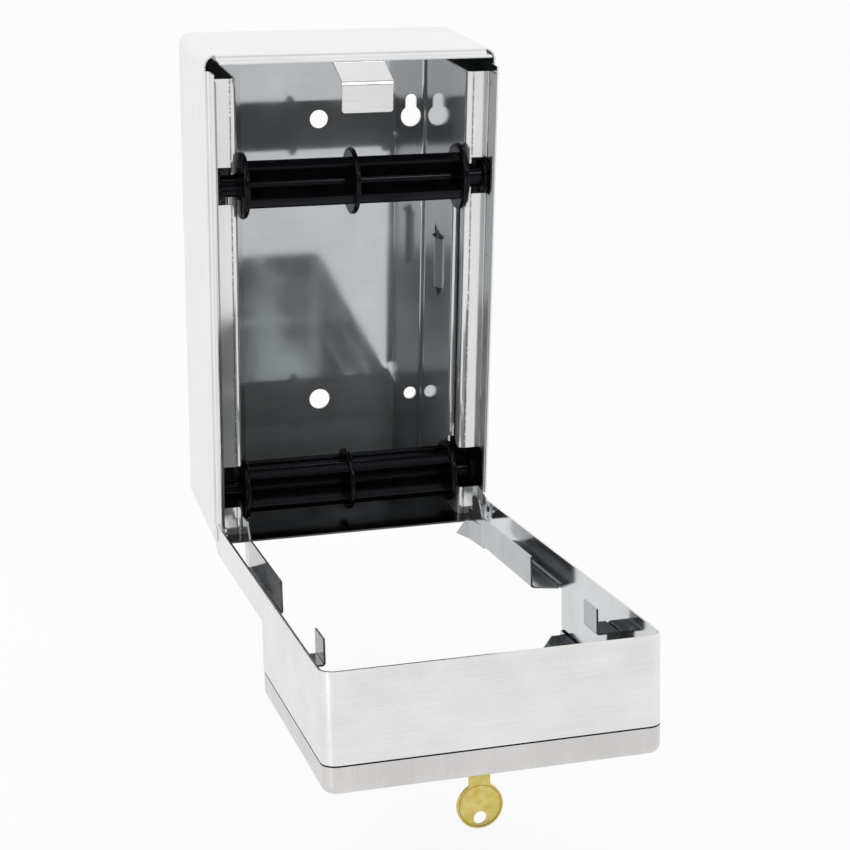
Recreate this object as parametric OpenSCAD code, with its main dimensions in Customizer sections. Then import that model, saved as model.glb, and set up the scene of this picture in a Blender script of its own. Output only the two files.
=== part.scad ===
// Locking dispenser for two rolls of toilet tissue, one above the other, with its cover swung down.
// Millimetres. +Z is up, the front faces -Y, and the origin is the middle of the wall face.
// The cover and everything on it are drawn shut and then turned down about the hinge.

/* [Cabinet] */
// Width over both sides
cab_w = 158; // [152:1:170]
// Height from the lower edge to the top
cab_h = 270; // [266:1:290]
// Depth from the wall to the front edge of the stepped flange
cab_d = 94; // [92:1:104]
// Sheet thickness of the wrapper
cab_t = 1.0; // [0.8:0.1:1.3]
// Outer radius of the two top corners
cab_r = 6; // [4:0.5:9]
// How far the front flange steps inwards
joggle = 2.2; // [2.1:0.1:2.6]
// Length of the stepped flange
flange_len = 10; // [9:0.5:11]
// Sheet thickness of the wall plate
back_t = 1.0; // [0.8:0.1:1.5]
// Depth of the welded rim of the wall plate
back_rim = 11; // [6:1:16]
// Height of the floor's upper face above the lower edge
floor_h = 3; // [2.5:0.5:4]
// Sheet thickness of the floor
floor_t = 1.0; // [0.8:0.1:1.5]

/* [Wall holes] */
// Vertical distance between the two rows of holes
hole_rows = 169; // [150:1:180]
// Diameter of the upper middle hole
upper_hole_d = 10.5; // [8:0.5:14]
// Diameter of the lower middle hole
lower_hole_d = 12.3; // [8:0.1:14]
// Distance between the two keyholes
keyhole_pitch = 108.6; // [90:0.2:112]
// Diameter of a keyhole's round end
keyhole_d = 12; // [9:0.5:14]
// Width of a keyhole's neck
keyhole_neck = 6.6; // [5:0.2:8]
// Length of a keyhole's neck above the centre of its round end
keyhole_rise = 9.5; // [7:0.5:14]
// Distance between the two lower screw holes
screw_pitch = 112; // [90:1:114]
// Diameter of a lower screw hole
screw_hole_d = 7.6; // [5:0.2:9]

/* [Guide rails] */
// Clear width between the rails
bay_w = 125; // [118:1:126]
// Sheet thickness of the rails
rail_t = 1.0; // [0.8:0.1:1.2]
// Inner radius of the rail's front bend
rail_bend = 2.5; // [1.5:0.5:3.5]
// Distance from the cabinet's top down to the rail's end
rail_top_gap = 12; // [9:1:20]
// Height of the upper spindle's axis above the lower edge
upper_axis_h = 200.8; // [196:0.2:205]
// Height of the lower spindle's axis above the lower edge
lower_axis_h = 25.5; // [23.5:0.5:30]
// Distance from the rail's front face back to the journal track's middle
track_setback = 14; // [13.5:0.25:16]
// Width of the journal track
track_w = 13.5; // [13.2:0.1:14.5]
// Distance from the rail's front face back to the upper spindle's axis
cradle_setback = 4.5; // [4:0.1:5.5]
// Height of the upper window in the rail's face
window_h = 20; // [19.6:0.2:24]
// Height of the lower notch, measured from the track's floor
low_notch_h = 24.4; // [22:0.2:30]
// Reach of the lip curled outwards along the track's rear edge
lip_w = 3.2; // [2.8:0.1:4]
// Inner radius of that curl
lip_bend = 1.4; // [1:0.1:1.6]
// Width of the rail's foot on the wall plate
foot_w = 17; // [16:0.5:19]
// Inner radius of the bend between foot and rail
foot_bend = 1.8; // [1.2:0.1:2]
// Height of the middle of the lanced bridge above the lower edge
bridge_h = 141.5; // [120:0.5:160]
// Length of the lanced bridge
bridge_len = 29; // [20:1:36]
// Width of the lanced bridge
bridge_w = 16.4; // [12:0.2:20]
// How far the bridge is pressed into the bay
bridge_rise = 3; // [2:0.1:4]
// Distance from the wall to the middle of the bridge
bridge_y = 35.8; // [30:0.2:42]

/* [Latch keeper] */
// Width of the keeper strap
keeper_w = 27; // [20:1:34]
// Sheet thickness of the keeper
keeper_t = 1.2; // [1:0.1:1.5]
// Reach of the keeper plate in front of the flange
keeper_reach = 20.2; // [19.4:0.1:21]
// Fall of the keeper plate's lower edge below the cabinet's top
keeper_drop = 26.2; // [25.6:0.1:26.4]
// Radius of the keeper plate's two lower corners
keeper_corner = 1.5; // [0.5:0.1:3]

/* [Cover] */
// Angle by which the cover hangs open
open_angle = 82; // [70:1:84]
// Sheet thickness of the cover
door_t = 1.2; // [1:0.1:1.4]
// Outer radius of the cover's two top corners
door_r = 7; // [6:0.5:9]
// Depth of the shut cover from the wall to its front face
door_d = 141; // [139:1:146]
// Depth of the front pan
pan_d = 14; // [12:0.5:18]
// Height of the front pan, from the cover's top
pan_h = 133; // [120:1:150]
// Radius of the pan's front edges
pan_edge_r = 4; // [3:0.5:6]
// Width of the seam between band and pan
seam = 0.7; // [0.3:0.1:0.8]
// Width of an arm below the band
arm_w = 17; // [16:0.5:19]
// How far the band reaches down past the pan
band_over = 1; // [0:1:12]
// Setback of the hinge axis from the flange's front edge
hinge_setback = 4; // [3.8:0.1:4.4]
// Height of the hinge axis above the lower edge
hinge_h = 7; // [6.8:0.1:8]
// Gap between the shut cover's rear edge and the cabinet's side
door_gap = 0.3; // [0.2:0.1:0.5]

/* [Hinge rivets] */
// Diameter of the rivet shank
rivet_d = 4.8; // [4:0.2:5.2]
// Diameter of the rivet's domed head
rivet_head_d = 9; // [8:0.5:10]
// Height of the domed head
rivet_head_h = 1.8; // [1.2:0.1:2.4]
// Outer diameter of the hinge washer
washer_d = 10; // [8:0.5:10.5]

/* [Spindle guards] */
// Distance from the cover's outer side to the guard's wall
guard_inset = 13.5; // [12.5:0.1:14]
// Sheet thickness of the guards
guard_t = 1.0; // [0.8:0.1:1.2]
// Gap between a shut guard and the rail's front face
guard_gap = 2.2; // [1.8:0.1:3]
// Height of the lower guard's lower end above the cabinet's lower edge
low_guard_start = 37; // [35:1:40]
// Length of the lower guard
low_guard_len = 86; // [74:1:88]
// Height of the upper guard's lower end above the upper spindle's axis
up_guard_rise = 1.2; // [0:0.2:3]
// Length of the upper guard
up_guard_len = 17; // [14:1:24]

/* [Lock] */
// Fall of the lock's axis below the cover's top
lock_drop = 30; // [29.9:0.1:30.4]
// Diameter of the barrel's visible head
barrel_head_d = 20; // [18:0.5:22]
// Height of the barrel's visible head
barrel_head_h = 2; // [1.5:0.1:3]
// Diameter of the barrel
barrel_d = 16; // [15:0.5:17]
// Diameter of the plug
plug_d = 11; // [10.6:0.1:11.4]
// Width over the flats of the lock nut
nut_af = 22; // [20:0.5:24]
// Height of the lock nut
nut_h = 4; // [3:0.5:5]
// Length of the cam from the lock's axis to its tip
cam_len = 15; // [13:0.5:15.5]
// Thickness of the cam
cam_t = 2; // [1.5:0.1:2.2]
// Number of wafer tumblers
wafer_count = 5; // [3:1:5]

/* [Key] */
// Diameter of the key's bow
bow_d = 22; // [18:0.5:26]
// Diameter of the hole in the bow
bow_hole_d = 6.3; // [4:0.1:8]
// Length of the key's neck between the lock and the bow
key_neck = 14; // [12:0.5:18]
// Thickness of the key
key_t = 1.9; // [1.6:0.1:2]

/* [Spindles] */
// Diameter of the journals that ride in the rails
journal_d = 12; // [11:0.1:12.2]
// Diameter of the core discs
disc_d = 36; // [33:0.5:37]
// Thickness of an outer core disc
disc_t = 3.6; // [2.5:0.1:5]
// Thickness of the middle disc
mid_disc_t = 2.8; // [2:0.1:4]
// Diameter over the ribs
rib_d = 30; // [26:0.5:32]
// Thickness of a rib
rib_t = 2; // [1.6:0.1:3]
// Width of the pad along a rib's edge
rib_pad = 6; // [4:0.2:8]
// Diameter of the end discs
end_disc_d = 18.6; // [17:0.2:19]
// Thickness of the end discs
end_disc_t = 2.6; // [2:0.1:3]
// Turn of the upper spindle's ribs, from straight ahead
upper_rib_turn = 31; // [0:1:89]
// Turn of the lower spindle's ribs, from straight ahead
lower_rib_turn = 42; // [0:1:89]

/* [Hidden] */
$fn = 48;
eps = 0.01;

// Clearances
pivot_gap = 0.07;
head_gap = 0.15;
plug_gap = 0.05;
thread_gap = 0.1;
journal_gap = 0.35;
disc_gap = 0.9;
end_gap = 0.35;
keyway_gap = 0.25;
wafer_gap = 0.1;
floor_gap = 0.3;

// Cabinet
half_w = cab_w / 2;
low_z = -cab_h / 2;
top_z = cab_h / 2;
step_y = -(cab_d - flange_len);
flange_y = -cab_d;
flange_out = half_w - joggle;
flange_in = flange_out - cab_t;
step_run = joggle;
bend_small = 0.6;
row_z = hole_rows / 2;
floor_z = low_z + floor_h;
floor_tab_h = 9;

// Rails
bay_x = bay_w / 2;
leg_x = flange_in - rail_t;
rail_top = top_z - rail_top_gap;
leg_front = flange_y + 0.4;
leg_bridge = 2.6;
track_y = step_y + track_setback;
cradle_y = step_y + cradle_setback;
journal_r = journal_d / 2;
upper_z = low_z + upper_axis_h;
lower_z = low_z + lower_axis_h;
track_floor = lower_z - journal_r - floor_gap;
cradle_r = journal_r + journal_gap;
notch_top = upper_z + cradle_r + 1.2;
notch_lip = 0.9;
window_z = upper_z + 0.8;
window_x = bay_x + rail_t + rail_bend;
low_notch_top = track_floor + low_notch_h;
notch_round = 5;
lip_end_gap = 13;
lip_y = track_y + track_w / 2;
lip_low = low_notch_top;
lip_top = notch_top - lip_end_gap;
foot_y = -back_t - rail_t;
bridge_z = low_z + bridge_h;
bridge_point = 6;

// Keeper
keeper_y = flange_y - keeper_reach;
keeper_low = top_z - keeper_drop;
keeper_fall = 6.8;
keeper_foot = 24;

// Cover, in its shut position
hinge_y = flange_y + hinge_setback;
hinge_z = low_z + hinge_h;
door_back = step_y - door_gap;
door_front = -door_d;
seam_y = door_front + pan_d;
arm_front = door_back - arm_w;
arm_in = half_w - door_t;
arm_toe_r = 8;
heel_r = door_back - hinge_y;
arm_low = hinge_z - heel_r;
pan_low = top_z - pan_h;
band_low = pan_low - band_over;
tongue = 4;
gusset_reach = 17.2;
gusset_inset = 5.8;
gusset_back = seam_y + 1.7;

// Guards
guard_x = half_w - guard_inset;
guard_back = step_y - guard_gap;
low_guard_low = low_z + low_guard_start;
low_guard_top = low_guard_low + low_guard_len;
finger_tip = track_y - journal_r - 1.5;
finger_low = track_floor + 2.3;
finger_top = finger_low + 14.5;
guard_face = arm_front - 2.3;
guard_foot = 2.5;
guard_slant = 11;
flare_back = guard_back - 5.2;
strip_low = hinge_z + 6.7;
strip_up = 8;
slit = 0.4;
flare_mid = hinge_z + 11;
flare_low = hinge_z - 5;
flare_end = hinge_z - 3.5;
flare_bulge = 1.3;
flare_reach = 5;
up_guard_low = upper_z + up_guard_rise;
up_guard_depth = 12;
up_guard_foot = 7;

// Rivets
rivet_r = rivet_d / 2;
rivet_inner_r = 3.5;
rivet_inner_h = 1.2;

// Lock
lock_z = top_z - lock_drop;
head_front = door_front - barrel_head_h;
cam_front = keeper_y + keeper_t + 1.0;
cam_back = cam_front + cam_t;
barrel_back = keeper_y - 2.6;
plug_back = barrel_back + 0.6;
neck_r = 3.2;
square_side = 4.2;
cam_half = 3.2;
screw_r = 1.5;
screw_head_r = 3;
screw_head_h = 1.8;
screw_depth = 6;
blade_half = 3.8;
keyway_back = plug_back - 4;
wafer_t = 0.8;
wafer_half = 2.6;
wafer_start = 4.5;
wafer_step = 3.4;
blade_tip = keyway_back - 0.8;
shoulder_y = head_front - 0.8;
bow_y = head_front - key_neck - bow_d / 2 + 1;
bow_hole_y = bow_y - 6;

// Spindles
disc_out = bay_x - disc_gap;
end_out = leg_x - end_gap;
end_in = end_out - end_disc_t;
collar_r = journal_r + 1.6;
collar_t = disc_gap - 0.3;
core_r = 3.2;
pad_t = 1.8;

steel = [0.86, 0.87, 0.88];
inner_steel = [0.62, 0.64, 0.67];
black = [0.06, 0.06, 0.07];
brass = [0.83, 0.68, 0.33];

// ---- Shared shapes ----

function unit(v) = v / norm(v);

// Arc that rounds the corner b between a and c
function corner_arc(a, b, c, r, n) =
    let (
        u = unit(a - b),
        v = unit(c - b),
        half = acos(u * v) / 2,
        start_point = b + u * r / tan(half),
        middle = b + unit(u + v) * r / sin(half),
        start = atan2(start_point[1] - middle[1], start_point[0] - middle[0]),
        turn = (cross(u, v) > 0 ? -1 : 1) * (180 - 2 * half)
    )
    [for (i = [0:n]) middle + r * [cos(start + turn * i / n), sin(start + turn * i / n)]];

// Radius along one face of the sheet: the inner radius, or that and the thickness
function face_radius(a, b, c, r, t) = cross(a - b, c - b) * t < 0 ? r + abs(t) : r;

// Open line through the points, each corner rounded for a sheet of thickness t on its left
function bent_line(points, radii, t, n = 5) = [
    points[0],
    for (i = [1:len(points) - 2])
        let (a = points[i - 1], b = points[i], c = points[i + 1])
        each corner_arc(a, b, c, face_radius(a, b, c, radii[i - 1], t), n),
    points[len(points) - 1]
];

// Mitred normal on the left of the line at point i
function left_normal(line, i) =
    let (
        last = len(line) - 1,
        before = unit(line[max(i, 1)] - line[max(i, 1) - 1]),
        after = unit(line[min(i, last - 1) + 1] - line[min(i, last - 1)]),
        along = unit(before + after)
    )
    [-along[1], along[0]] / (along * before);

// Section of folded sheet: the line is one face, t its thickness to the left, the radii are inner ones
module fold(points, radii, t) {
    line = bent_line(points, radii, t);
    far_side = [for (i = [len(line) - 1:-1:0]) line[i] + t * left_normal(line, i)];
    polygon(concat(line, far_side));
}

// Upright section swept along X; its own axes are Y and Z
module along_x(x0, x1) {
    translate([x0, 0, 0]) rotate([90, 0, 90]) linear_extrude(x1 - x0) children();
}

// Upright section swept along Y; its own axes are X and Z
module along_y(y0, y1) {
    translate([0, y1, 0]) rotate([90, 0, 0]) linear_extrude(y1 - y0) children();
}

// Flat section swept along Z; its own axes are X and Y
module along_z(z0, z1) {
    translate([0, 0, z0]) linear_extrude(z1 - z0) children();
}

// Rectangle between two corners
module panel(low, high) {
    translate(low) square(high - low);
}

// Round rod along X
module rod_x(r, x0, x1, y, z) {
    translate([x0, y, z]) rotate([0, 90, 0]) cylinder(r = r, h = x1 - x0);
}

// Round rod along Y
module rod_y(r, y0, y1, x, z) {
    translate([x, y1, z]) rotate([90, 0, 0]) cylinder(r = r, h = y1 - y0);
}

// Upright rectangle whose two top corners are rounded
module arch(half, low, high, r) {
    panel([-half, low], [half, high - r]);
    panel([-(half - r), low], [half - r, high]);
    for (side = [-1, 1]) translate([side * (half - r), high - r]) circle(r);
}

module both_sides() {
    children();
    mirror([1, 0, 0]) children();
}

// Turns what is drawn shut down about the hinge
module opened() {
    translate([0, hinge_y, hinge_z]) rotate([open_angle, 0, 0]) translate([0, -hinge_y, -hinge_z]) children();
}

// ---- Cabinet ----

// Section of the stepped edge, from the outer face at the side or the top
module stepped_edge(face) {
    fold(
        [[face, step_y + 6], [face, step_y + step_run], [face - joggle, step_y], [face - joggle, flange_y]],
        [bend_small, bend_small], -cab_t
    );
}

module cabinet_shell() {
    edge_top = top_z - cab_r - 2;
    color(steel) difference() {
        union() {
            along_y(step_y + step_run + 0.6, 0) difference() {
                arch(half_w, low_z, top_z, cab_r);
                arch(half_w - cab_t, low_z - 1, top_z - cab_t, cab_r - cab_t);
            }
            both_sides() along_z(low_z, edge_top) stepped_edge(half_w);
            along_x(-(half_w - cab_r), half_w - cab_r) rotate(90) mirror([0, 1]) stepped_edge(top_z);
        }
        rod_x(rivet_r, -half_w, half_w, hinge_y, hinge_z);
    }
}

// Keyhole: round end below, narrow neck above
module keyhole() {
    rod_y(keyhole_d / 2, foot_y - 1, 1, keyhole_pitch / 2, row_z);
    rod_y(keyhole_neck / 2, foot_y - 1, 1, keyhole_pitch / 2, row_z + keyhole_rise);
    along_y(foot_y - 1, 1) panel(
        [(keyhole_pitch - keyhole_neck) / 2, row_z],
        [(keyhole_pitch + keyhole_neck) / 2, row_z + keyhole_rise]
    );
}

module back_plate() {
    plate_half = half_w - cab_t;
    plate_top = top_z - cab_t;
    plate_r = cab_r - cab_t;
    rim_low = floor_z + floor_tab_h + 3;
    color(inner_steel) difference() {
        union() {
            along_y(-back_t, 0) arch(plate_half, low_z, plate_top, plate_r);
            along_y(-back_t - back_rim, -back_t) difference() {
                arch(plate_half, rim_low, plate_top, plate_r);
                arch(plate_half - back_t, rim_low - 1, plate_top - back_t, plate_r - back_t);
            }
        }
        rod_y(upper_hole_d / 2, -back_t - 1, 1, 0, row_z);
        rod_y(lower_hole_d / 2, -back_t - 1, 1, 0, -row_z);
        both_sides() keyhole();
        both_sides() rod_y(screw_hole_d / 2, -back_t - 1, 1, screw_pitch / 2, -row_z);
    }
}

module floor_plate() {
    side = half_w - cab_t;
    turn_y = step_y + step_run + 0.6;
    color(inner_steel) {
        along_z(floor_z - floor_t, floor_z) {
            panel([-side, turn_y], [side, -back_t]);
            panel([-leg_x, flange_y], [leg_x, turn_y]);
        }
        both_sides() along_z(floor_z, floor_z + floor_tab_h) panel([side - floor_t, turn_y], [side, -back_t]);
    }
}

// Openings through the rail that the journals use, in the YZ plane
module track_outline() {
    panel([track_y - track_w / 2, track_floor], [track_y + track_w / 2, notch_top]);
    panel([flange_y, upper_z - cradle_r + notch_lip], [track_y, notch_top]);
    translate([cradle_y, upper_z]) circle(cradle_r);
    panel([flange_y, track_floor], [track_y, low_notch_top]);
    difference() {
        corner = track_y - track_w / 2;
        panel([corner - notch_round, low_notch_top - eps], [corner + eps, low_notch_top + notch_round]);
        translate([corner - notch_round, low_notch_top + notch_round]) circle(notch_round);
    }
}

// Pointed slot that the lanced bridge leaves, in the YZ plane
module bridge_slot() {
    rear = bridge_w / 2;
    half_len = bridge_len / 2;
    translate([-bridge_y, bridge_z]) polygon([
        [rear, -half_len], [rear, half_len + bridge_point], [-rear, half_len],
        [-rear, -half_len], [0, -half_len - bridge_point]
    ]);
}

// Strip pressed out of the rail into the bay
module bridge_strip() {
    rear = -bridge_y + bridge_w / 2;
    front = -bridge_y - bridge_w / 2;
    along_z(bridge_z - bridge_len / 2, bridge_z + bridge_len / 2) fold(
        [
            [bay_x, rear + rail_t], [bay_x, rear], [bay_x - bridge_rise, rear - bridge_rise],
            [bay_x - bridge_rise, front + 2 * bridge_rise], [bay_x, front], [bay_x, front - rail_t]
        ],
        [bend_small, bend_small, bend_small, bend_small], rail_t
    );
}

module rail() {
    color(inner_steel) difference() {
        union() {
            difference() {
                along_z(floor_z, rail_top) fold(
                    [
                        [bay_x - foot_w, foot_y], [bay_x, foot_y], [bay_x, step_y],
                        [leg_x, step_y], [leg_x, leg_front]
                    ],
                    [foot_bend, rail_bend, bend_small], rail_t
                );
                along_x(bay_x - 1, window_x) track_outline();
                along_x(bay_x - 1, bay_x + rail_t + 1) {
                    bridge_slot();
                    panel([lip_y - eps, lip_low], [lip_y + lip_bend + rail_t, lip_top]);
                }
                along_x(window_x - eps, half_w) {
                    panel([leg_front + leg_bridge, window_z - window_h / 2], [track_y, window_z + window_h / 2]);
                    panel([leg_front + leg_bridge, track_floor], [track_y, low_notch_top]);
                }
            }
            along_z(lip_low, lip_top) fold(
                [[bay_x, lip_y + 2 * lip_w], [bay_x, lip_y], [bay_x + lip_w, lip_y]], [lip_bend], rail_t
            );
            bridge_strip();
        }
        keyhole();
        rod_y(screw_hole_d / 2, foot_y - 1, 1, screw_pitch / 2, -row_z);
        rod_x(rivet_r, leg_x - 1, half_w, hinge_y, hinge_z);
    }
}

module right_rail() { rail(); }
module left_rail() { mirror([1, 0, 0]) rail(); }

// Strap welded under the cabinet's top, whose plate the cam locks behind
module latch_keeper() {
    under_top = top_z - cab_t;
    under_flange = under_top - joggle;
    color(steel) intersection() {
        along_x(-keeper_w / 2, keeper_w / 2) fold(
            [
                [step_y + keeper_foot, under_top], [step_y + 3.6, under_top],
                [step_y + 1.2, under_flange], [flange_y - 1, under_flange],
                [keeper_y, under_flange - keeper_fall], [keeper_y, keeper_low]
            ],
            [bend_small, bend_small, 2, 2], keeper_t
        );
        along_y(keeper_y - 1, 0) mirror([0, 1]) arch(keeper_w / 2, -top_z, -keeper_low, keeper_corner);
    }
}

// ---- Hinge ----

// Rivet through rail, flange, washer and arm
module hinge_rivet() {
    dome_r = (pow(rivet_head_d / 2, 2) + pow(rivet_head_h, 2)) / (2 * rivet_head_h);
    color(steel) {
        rod_x(rivet_inner_r, leg_x - rivet_inner_h, leg_x, hinge_y, hinge_z);
        rod_x(rivet_r, leg_x - eps, half_w + head_gap + eps, hinge_y, hinge_z);
        translate([half_w + head_gap, hinge_y, hinge_z]) rotate([0, 90, 0]) rotate_extrude() intersection() {
            translate([0, rivet_head_h - dome_r]) circle(dome_r, $fn = 96);
            square([rivet_head_d / 2, rivet_head_h]);
        }
    }
}

module right_hinge_rivet() { hinge_rivet(); }
module left_hinge_rivet() { mirror([1, 0, 0]) hinge_rivet(); }

module hinge_washer() {
    color(steel) difference() {
        rod_x(washer_d / 2, flange_out, arm_in - head_gap, hinge_y, hinge_z);
        rod_x(rivet_r, flange_out - 1, arm_in + 1, hinge_y, hinge_z);
    }
}

module right_hinge_washer() { hinge_washer(); }
module left_hinge_washer() { mirror([1, 0, 0]) hinge_washer(); }

// ---- Cover ----

// Side view of an arm, in the YZ plane
module arm_outline() {
    toe_y = arm_front + arm_toe_r;
    panel([arm_front, arm_low + arm_toe_r], [door_back, band_low + eps]);
    panel([toe_y, arm_low], [hinge_y, arm_low + arm_toe_r + eps]);
    panel([hinge_y - eps, hinge_z], [door_back, arm_low + arm_toe_r + eps]);
    translate([toe_y, arm_low + arm_toe_r]) circle(arm_toe_r);
    translate([hinge_y, hinge_z]) circle(heel_r);
}

module door_band() {
    color(steel) opened() difference() {
        along_y(seam_y, door_back) difference() {
            arch(half_w, arm_low, top_z, door_r);
            arch(arm_in, arm_low - 1, top_z - door_t, door_r - door_t);
        }
        along_x(-half_w - 1, half_w + 1) difference() {
            panel([seam_y - 1, arm_low - 1], [door_back + 1, band_low]);
            arm_outline();
        }
        rod_x(rivet_r + pivot_gap, -half_w - 1, half_w + 1, hinge_y, hinge_z);
    }
}

// Solid body of the pan, drawn in by an inset all round
module pan_body(inset, back, low) {
    corner = door_r - inset;
    edge = pan_edge_r - inset;
    x = half_w - inset;
    front = door_front + inset;
    top = top_z - inset;
    hull() both_sides() {
        translate([x - corner, front + edge, top - corner]) rotate([90, 0, 0]) rotate_extrude() intersection() {
            translate([corner - edge, 0]) circle(edge, $fn = 32);
            panel([0, -edge], [corner, edge]);
        }
        rod_y(corner, front + edge, back, x - corner, top - corner);
        translate([x - edge, front + edge, low]) cylinder(r = edge, h = 1, $fn = 32);
        translate([x - 1, front + edge, low]) cube([1, back - front - edge, 1]);
    }
}

module front_pan() {
    back = seam_y - seam;
    color(steel) opened() difference() {
        union() {
            difference() {
                pan_body(0, back, pan_low);
                pan_body(door_t, back + 1, pan_low - 2);
            }
            along_y(back - tongue, seam_y + tongue) difference() {
                arch(arm_in, pan_low, top_z - door_t, door_r - door_t);
                arch(arm_in - door_t, pan_low - 1, top_z - 2 * door_t, door_r - 2 * door_t);
            }
            both_sides() along_z(pan_low, pan_low + door_t) polygon([
                [arm_in, gusset_back], [arm_in - gusset_inset, gusset_back],
                [arm_in - gusset_reach, door_front + door_t],
                [arm_in - pan_edge_r, door_front + door_t], [arm_in, door_front + pan_edge_r + door_t]
            ]);
        }
        rod_y(barrel_d / 2 + thread_gap, door_front - 1, seam_y, 0, lock_z);
    }
}

// Channel that holds the lower journal in its track, with a finger and a flared end
module lower_guard() {
    color(inner_steel) opened() {
        intersection() {
            along_z(low_guard_low, low_guard_top + guard_slant) fold(
                [
                    [arm_in, arm_front + guard_foot], [arm_in, arm_front],
                    [guard_x, guard_face], [guard_x, guard_back]
                ],
                [bend_small, bend_small], -guard_t
            );
            along_y(guard_face - 1, guard_back + 1) polygon([
                [guard_x - 1, low_guard_low - 1], [arm_in + 1, low_guard_low - 1],
                [arm_in + 1, low_guard_top + guard_slant], [arm_in - guard_t, low_guard_top + guard_slant],
                [guard_x + guard_t, low_guard_top], [guard_x - 1, low_guard_top]
            ]);
        }
        along_x(guard_x, guard_x + guard_t) polygon([
            [flare_back + slit, strip_low], [guard_back, strip_low], [guard_back, finger_low],
            [finger_tip - 1, finger_low], [finger_tip, finger_low + 1], [finger_tip, finger_top - 3],
            [guard_back, finger_top + 3], [guard_back, low_guard_low + strip_up],
            [flare_back + slit, low_guard_low + strip_up]
        ]);
        intersection() {
            along_y(guard_face, flare_back) fold(
                [
                    [guard_x, low_guard_low + 4], [guard_x, low_guard_low],
                    [guard_x - flare_bulge, flare_mid], [guard_x - flare_reach, flare_low]
                ],
                [3, 3], guard_t
            );
            along_x(guard_x - flare_reach - 1, half_w) polygon([
                [guard_face, flare_end], [guard_face, low_guard_low + 5],
                [flare_back, low_guard_low + 5], [flare_back, strip_low + 2.4]
            ]);
        }
    }
}

module right_lower_guard() { lower_guard(); }
module left_lower_guard() { mirror([1, 0, 0]) lower_guard(); }

// Short bracket that holds the upper journal in its cradle
module upper_guard() {
    face = guard_back - up_guard_depth;
    color(inner_steel) opened() {
        along_z(up_guard_low, up_guard_low + up_guard_len) fold(
            [
                [arm_in, face - up_guard_foot], [arm_in, face],
                [guard_x + guard_t, face], [guard_x + guard_t, guard_back]
            ],
            [bend_small, bend_small], guard_t
        );
        along_z(up_guard_low + up_guard_len - guard_t, up_guard_low + up_guard_len) panel(
            [arm_in - up_guard_foot, face - up_guard_foot], [arm_in, face]
        );
    }
}

module right_upper_guard() { upper_guard(); }
module left_upper_guard() { mirror([1, 0, 0]) upper_guard(); }

// ---- Lock ----

module lock_barrel() {
    color(steel) opened() difference() {
        union() {
            rod_y(barrel_head_d / 2, head_front, door_front, 0, lock_z);
            rod_y(barrel_d / 2, door_front - eps, barrel_back, 0, lock_z);
        }
        rod_y(plug_d / 2 + plug_gap, head_front - 1, barrel_back + 1, 0, lock_z);
    }
}

module lock_nut() {
    inner = door_front + door_t;
    color(steel) opened() difference() {
        translate([0, inner + nut_h, lock_z]) rotate([90, 0, 0]) cylinder(d = nut_af / cos(30), h = nut_h, $fn = 6);
        rod_y(barrel_d / 2 + thread_gap, inner - 1, inner + nut_h + 1, 0, lock_z);
    }
}

function wafer_y(i) = head_front + wafer_start + i * wafer_step;

module lock_plug() {
    face = head_front + 0.2;
    color(brass) opened() difference() {
        union() {
            rod_y(plug_d / 2, face, plug_back, 0, lock_z);
            rod_y(neck_r, plug_back - eps, cam_front, 0, lock_z);
            along_y(cam_front - eps, cam_back) translate([0, lock_z]) square(square_side, center = true);
        }
        along_y(face - 1, keyway_back) translate([0, lock_z])
            square([2 * (blade_half + keyway_gap), key_t + 2 * keyway_gap], center = true);
        for (i = [0:wafer_count - 1])
            along_y(wafer_y(i) - wafer_gap, wafer_y(i) + wafer_t + wafer_gap) translate([0, lock_z])
                square([plug_d + 2, 2 * (wafer_half + wafer_gap)], center = true);
        rod_y(screw_r, cam_back - screw_depth, cam_back + 1, 0, lock_z);
    }
}

module wafer_tumblers() {
    color(brass) opened() for (i = [0:wafer_count - 1])
        along_y(wafer_y(i), wafer_y(i) + wafer_t) translate([0, lock_z]) difference() {
            intersection() {
                circle(plug_d / 2 - wafer_gap);
                square([plug_d, 2 * wafer_half], center = true);
            }
            square([2 * (blade_half + keyway_gap), key_t + 2 * keyway_gap], center = true);
        }
}

module lock_cam() {
    color(steel) opened() along_y(cam_front, cam_back) translate([0, lock_z]) difference() {
        union() {
            circle(cam_half);
            panel([0, -cam_half], [cam_len - cam_half, cam_half]);
            translate([cam_len - cam_half, 0]) circle(cam_half);
        }
        square(square_side + 0.1, center = true);
    }
}

module cam_screw() {
    color(steel) opened() difference() {
        union() {
            rod_y(screw_head_r, cam_back, cam_back + screw_head_h, 0, lock_z);
            rod_y(screw_r, cam_back - screw_depth + 0.5, cam_back + eps, 0, lock_z);
        }
        along_y(cam_back + screw_head_h - 0.8, cam_back + screw_head_h + 1) translate([0, lock_z])
            square([2 * screw_head_r + 1, 0.8], center = true);
    }
}

// Flat key: cut blade, shoulder, neck and round bow
module key() {
    cut = 1.1;
    color(brass) opened() translate([0, 0, lock_z - key_t / 2]) linear_extrude(key_t) difference() {
        union() {
            panel([-blade_half, shoulder_y], [blade_half, blade_tip]);
            panel([-blade_half - 1.2, bow_y], [blade_half + 1.2, shoulder_y]);
            translate([0, bow_y]) circle(bow_d / 2);
        }
        translate([0, bow_hole_y]) circle(bow_hole_d / 2);
        for (i = [0:wafer_count - 1]) translate([blade_half, wafer_y(i) + wafer_t / 2])
            polygon([[eps, -cut], [eps, cut], [-0.5 - 0.5 * (i % 2), 0]]);
        translate([0, blade_tip]) for (side = [-1, 1])
            polygon([[side * (blade_half + 1), eps], [side * (blade_half + 1), -3], [side * 1.8, eps]]);
    }
}

// ---- Spindles ----

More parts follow.
